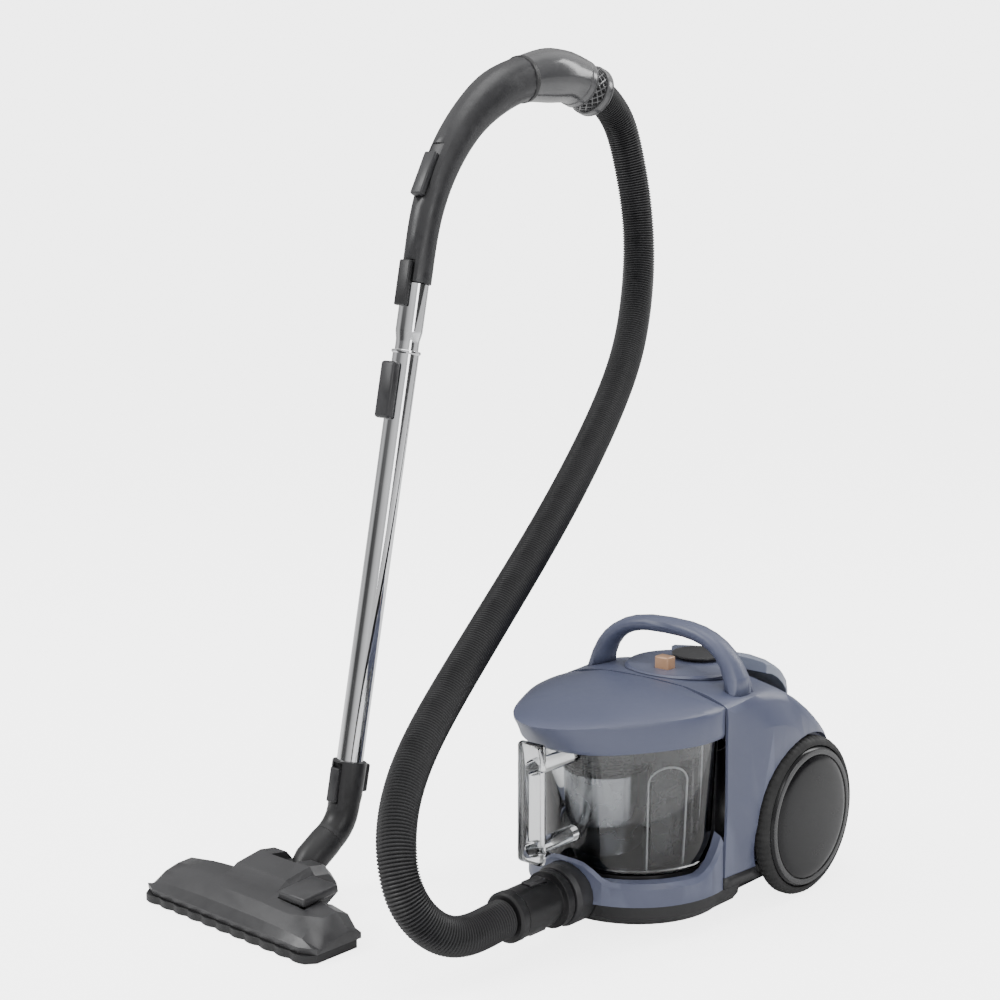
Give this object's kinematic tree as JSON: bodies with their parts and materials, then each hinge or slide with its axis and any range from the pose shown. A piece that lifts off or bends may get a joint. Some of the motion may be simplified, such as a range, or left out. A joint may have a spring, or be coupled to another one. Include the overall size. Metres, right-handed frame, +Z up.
{
  "type": "canister vacuum cleaner",
  "caption": "Canister vacuum cleaner: clear dust container under a slate-blue lid, large rear wheels, ribbed hose, telescopic chrome wand and floor nozzle.",
  "frame": {"origin": "centre of the bounding box's underside, on the floor, measured without the hose", "axes": "+Z up; -Y is the front, where the hose plugs in and the nozzle points; +X is the canister's side, -X the wand's side"},
  "size_m": [0.513, 0.669, 0.8842],
  "materials": {
    "slate_blue_plastic": "satin moulded slate-blue plastic",
    "pale_blue_plastic": "satin pale grey-blue plastic",
    "black_plastic": "satin black plastic",
    "dark_grey_plastic": "fine-grained dark grey plastic",
    "wheel_cover_gloss": "glossy near-black plastic dome",
    "pale_grey_panel": "smooth pale grey plastic",
    "mid_grey_gloss": "glossy mid-grey plastic",
    "chrome_tube": "bright chrome plate on thin steel tube",
    "plain_steel": "plain turned steel",
    "clear_bin_plastic": "clear polished polycarbonate",
    "silver_cyclone_plastic": "grey silvery plastic",
    "copper_button": "copper-coloured satin plating",
    "tyre_rubber": "dull black soft plastic tread",
    "seal_rubber": "soft black rubber",
    "hose_plastic": "ribbed flexible black plastic",
    "filter_foam": "open-cell foam",
    "pleated_filter_paper": "pleated filter paper",
    "bristle_nylon": "black nylon bristles"
  },
  "bodies": {
    "canister": {"base_pan": "black_plastic", "body_shell": "slate_blue_plastic", "front_skirt": "slate_blue_plastic", "control_deck": "slate_blue_plastic", "carry_handle": "slate_blue_plastic", "bulkhead": "black_plastic", "inlet_housing": "dark_grey_plastic", "hose_cuff": "black_plastic", "hose": "hose_plastic", "axle_left": "plain_steel", "axle_right": "plain_steel", "motor_housing": "dark_grey_plastic", "pre_filter": "filter_foam", "exhaust_filter": "pleated_filter_paper", "reel_spindle": "plain_steel", "cable_gland": "black_plastic", "handle_grip": "dark_grey_plastic", "handle_tube": "mid_grey_gloss", "upper_tube": "chrome_tube"},
    "rear_wheel_left": {"wheel_left": "wheel_cover_gloss", "tyre_left": "tyre_rubber"},
    "rear_wheel_right": {"wheel_right": "wheel_cover_gloss", "tyre_right": "tyre_rubber"},
    "caster_fork": {"caster_yoke": "dark_grey_plastic", "caster_pin": "plain_steel"},
    "caster_roller": {"caster_wheel": "tyre_rubber"},
    "dial": {"suction_dial": "dark_grey_plastic"},
    "button": {"release_button": "copper_button"},
    "pedal_power": {"power_pedal": "pale_blue_plastic"},
    "pedal_rewind": {"rewind_pedal": "pale_blue_plastic"},
    "latch_top": {"cuff_latch_top": "dark_grey_plastic"},
    "latch_bottom": {"cuff_latch_bottom": "dark_grey_plastic"},
    "ring": {"hose_swivel_ring": "black_plastic"},
    "swivel": {"handle_swivel": "mid_grey_gloss"},
    "bleed": {"air_slider": "dark_grey_plastic"},
    "grip_latch": {"handle_latch": "black_plastic"},
    "impeller": {"motor_impeller": "plain_steel"},
    "reel": {"cord_reel": "black_plastic"},
    "grille": {"exhaust_grille": "dark_grey_plastic"},
    "dust_container": {"dust_bin": "clear_bin_plastic", "bin_grip": "clear_bin_plastic", "bin_back": "pale_grey_panel", "cyclone": "silver_cyclone_plastic", "lid_seal": "seal_rubber"},
    "lid": {"bin_lid": "slate_blue_plastic"},
    "lid_catch": {"lid_latch": "black_plastic"},
    "lower_wand": {"lower_tube": "chrome_tube", "wand_elbow": "black_plastic", "parking_hook": "black_plastic"},
    "height_lock": {"height_slider": "dark_grey_plastic"},
    "collar_catch": {"collar_latch": "dark_grey_plastic"},
    "neck": {"nozzle_neck": "black_plastic", "neck_pin": "plain_steel"},
    "nozzle_head": {"nozzle_shell": "dark_grey_plastic", "soleplate": "black_plastic"},
    "foot_pedal": {"brush_pedal": "dark_grey_plastic"},
    "brush": {"bristle_strip": "bristle_nylon"},
    "floor_roller_left": {"roller_left": "tyre_rubber"},
    "floor_roller_right": {"roller_right": "tyre_rubber"}
  },
  "joints": [
    {"name": "left_wheel_spin", "type": "hinge", "parent": "canister", "child": "rear_wheel_left", "pos_m": [0.129, 0.1856, 0.0835], "axis": [1, 0, 0], "continuous": true},
    {"name": "right_wheel_spin", "type": "hinge", "parent": "canister", "child": "rear_wheel_right", "pos_m": [0.129, 0.1856, 0.0835], "axis": [1, 0, 0], "continuous": true},
    {"name": "caster_swivel", "type": "hinge", "parent": "canister", "child": "caster_fork", "pos_m": [0.129, -0.0094, 0.03], "axis": [0, 0, 1], "continuous": true},
    {"name": "caster_wheel_spin", "type": "hinge", "parent": "caster_fork", "child": "caster_roller", "pos_m": [0.129, -0.0054, 0.012], "axis": [1, 0, 0], "continuous": true},
    {"name": "suction_dial_turn", "type": "hinge", "parent": "canister", "child": "dial", "pos_m": [0.129, 0.1516, 0.2398], "axis": [0, 0, 1], "range_deg": [0, 270]},
    {"name": "release_button_press", "type": "slide", "parent": "canister", "child": "button", "axis": [0, 0, -1], "range_m": [0, 0.003], "stiffness_N_per_m": 400},
    {"name": "power_pedal_press", "type": "slide", "parent": "canister", "child": "pedal_power", "axis": [0, 0, -1], "range_m": [0, 0.004], "stiffness_N_per_m": 500},
    {"name": "rewind_pedal_press", "type": "slide", "parent": "canister", "child": "pedal_rewind", "axis": [0, 0, -1], "range_m": [0, 0.004], "stiffness_N_per_m": 500},
    {"name": "cuff_latch_top_press", "type": "slide", "parent": "canister", "child": "latch_top", "axis": [0, 0, -1], "range_m": [0, 0.0012], "stiffness_N_per_m": 500},
    {"name": "cuff_latch_bottom_press", "type": "slide", "parent": "canister", "child": "latch_bottom", "axis": [0, 0, 1], "range_m": [0, 0.0012], "stiffness_N_per_m": 500},
    {"name": "hose_ring_spin", "type": "hinge", "parent": "canister", "child": "ring", "pos_m": [0.129, -0.1494, 0.042], "axis": [0, 1, 0], "continuous": true},
    {"name": "handle_swivel_spin", "type": "hinge", "parent": "canister", "child": "swivel", "pos_m": [-0.126, 0.2461, 0.8503], "axis": [0, 0.9563, -0.2924], "continuous": true},
    {"name": "air_slider_move", "type": "slide", "parent": "canister", "child": "bleed", "axis": [0, 0.4695, 0.8829], "range_m": [0, 0.012]},
    {"name": "handle_latch_press", "type": "slide", "parent": "canister", "child": "grip_latch", "axis": [0, -0.2045, -0.9789], "range_m": [0, 0.004], "stiffness_N_per_m": 400},
    {"name": "impeller_spin", "type": "hinge", "parent": "canister", "child": "impeller", "pos_m": [0.129, 0.1336, 0.1], "axis": [0, 0, 1], "continuous": true},
    {"name": "cord_reel_spin", "type": "hinge", "parent": "canister", "child": "reel", "pos_m": [0.129, 0.2206, 0.105], "axis": [1, 0, 0], "continuous": true},
    {"name": "grille_lift_off", "type": "slide", "parent": "canister", "child": "grille", "axis": [0, 1, 0], "range_m": [0, 0.03]},
    {"name": "container_lift_out", "type": "slide", "parent": "canister", "child": "dust_container", "axis": [0, 0, 1], "range_m": [0, 0.16]},
    {"name": "lid_hinge", "type": "hinge", "parent": "dust_container", "child": "lid", "pos_m": [0.129, 0.0536, 0.2365], "axis": [-1, 0, 0], "range_deg": [0, 75]},
    {"name": "lid_latch_press", "type": "slide", "parent": "lid", "child": "lid_catch", "axis": [0, -1, 0], "range_m": [0, 0.003], "stiffness_N_per_m": 400},
    {"name": "wand_extension", "type": "slide", "parent": "canister", "child": "lower_wand", "axis": [0, -0.2045, -0.9789], "range_m": [0, 0.35]},
    {"name": "height_slider_press", "type": "slide", "parent": "lower_wand", "child": "height_lock", "axis": [0, 0.2045, 0.9789], "range_m": [0, 0.006], "stiffness_N_per_m": 400},
    {"name": "collar_latch_press", "type": "slide", "parent": "lower_wand", "child": "collar_catch", "axis": [0, 0.2045, 0.9789], "range_m": [0, 0.0035], "stiffness_N_per_m": 400},
    {"name": "neck_twist", "type": "hinge", "parent": "lower_wand", "child": "neck", "pos_m": [-0.126, -0.1894, 0.03], "axis": [0, -0.8403, -0.5421], "range_deg": [-90, 90]},
    {"name": "nozzle_tilt", "type": "hinge", "parent": "neck", "child": "nozzle_head", "pos_m": [-0.126, -0.1894, 0.03], "axis": [1, 0, 0], "range_deg": [-50, 32]},
    {"name": "brush_pedal_tilt", "type": "hinge", "parent": "nozzle_head", "child": "foot_pedal", "pos_m": [-0.058, -0.2129, 0.04], "axis": [1, 0, 0], "range_deg": [0, 6]},
    {"name": "bristle_lift", "type": "slide", "parent": "nozzle_head", "child": "brush", "axis": [0, 0, 1], "range_m": [0, 0.0035]},
    {"name": "left_roller_spin", "type": "hinge", "parent": "nozzle_head", "child": "floor_roller_left", "pos_m": [-0.094, -0.1904, 0.008], "axis": [1, 0, 0], "continuous": true},
    {"name": "right_roller_spin", "type": "hinge", "parent": "nozzle_head", "child": "floor_roller_right", "pos_m": [-0.158, -0.1904, 0.008], "axis": [1, 0, 0], "continuous": true}
  ],
  "couplings": [
    {"joint": "bristle_lift", "follows": "brush_pedal_tilt", "m_per_rad": 0.0334}
  ]
}
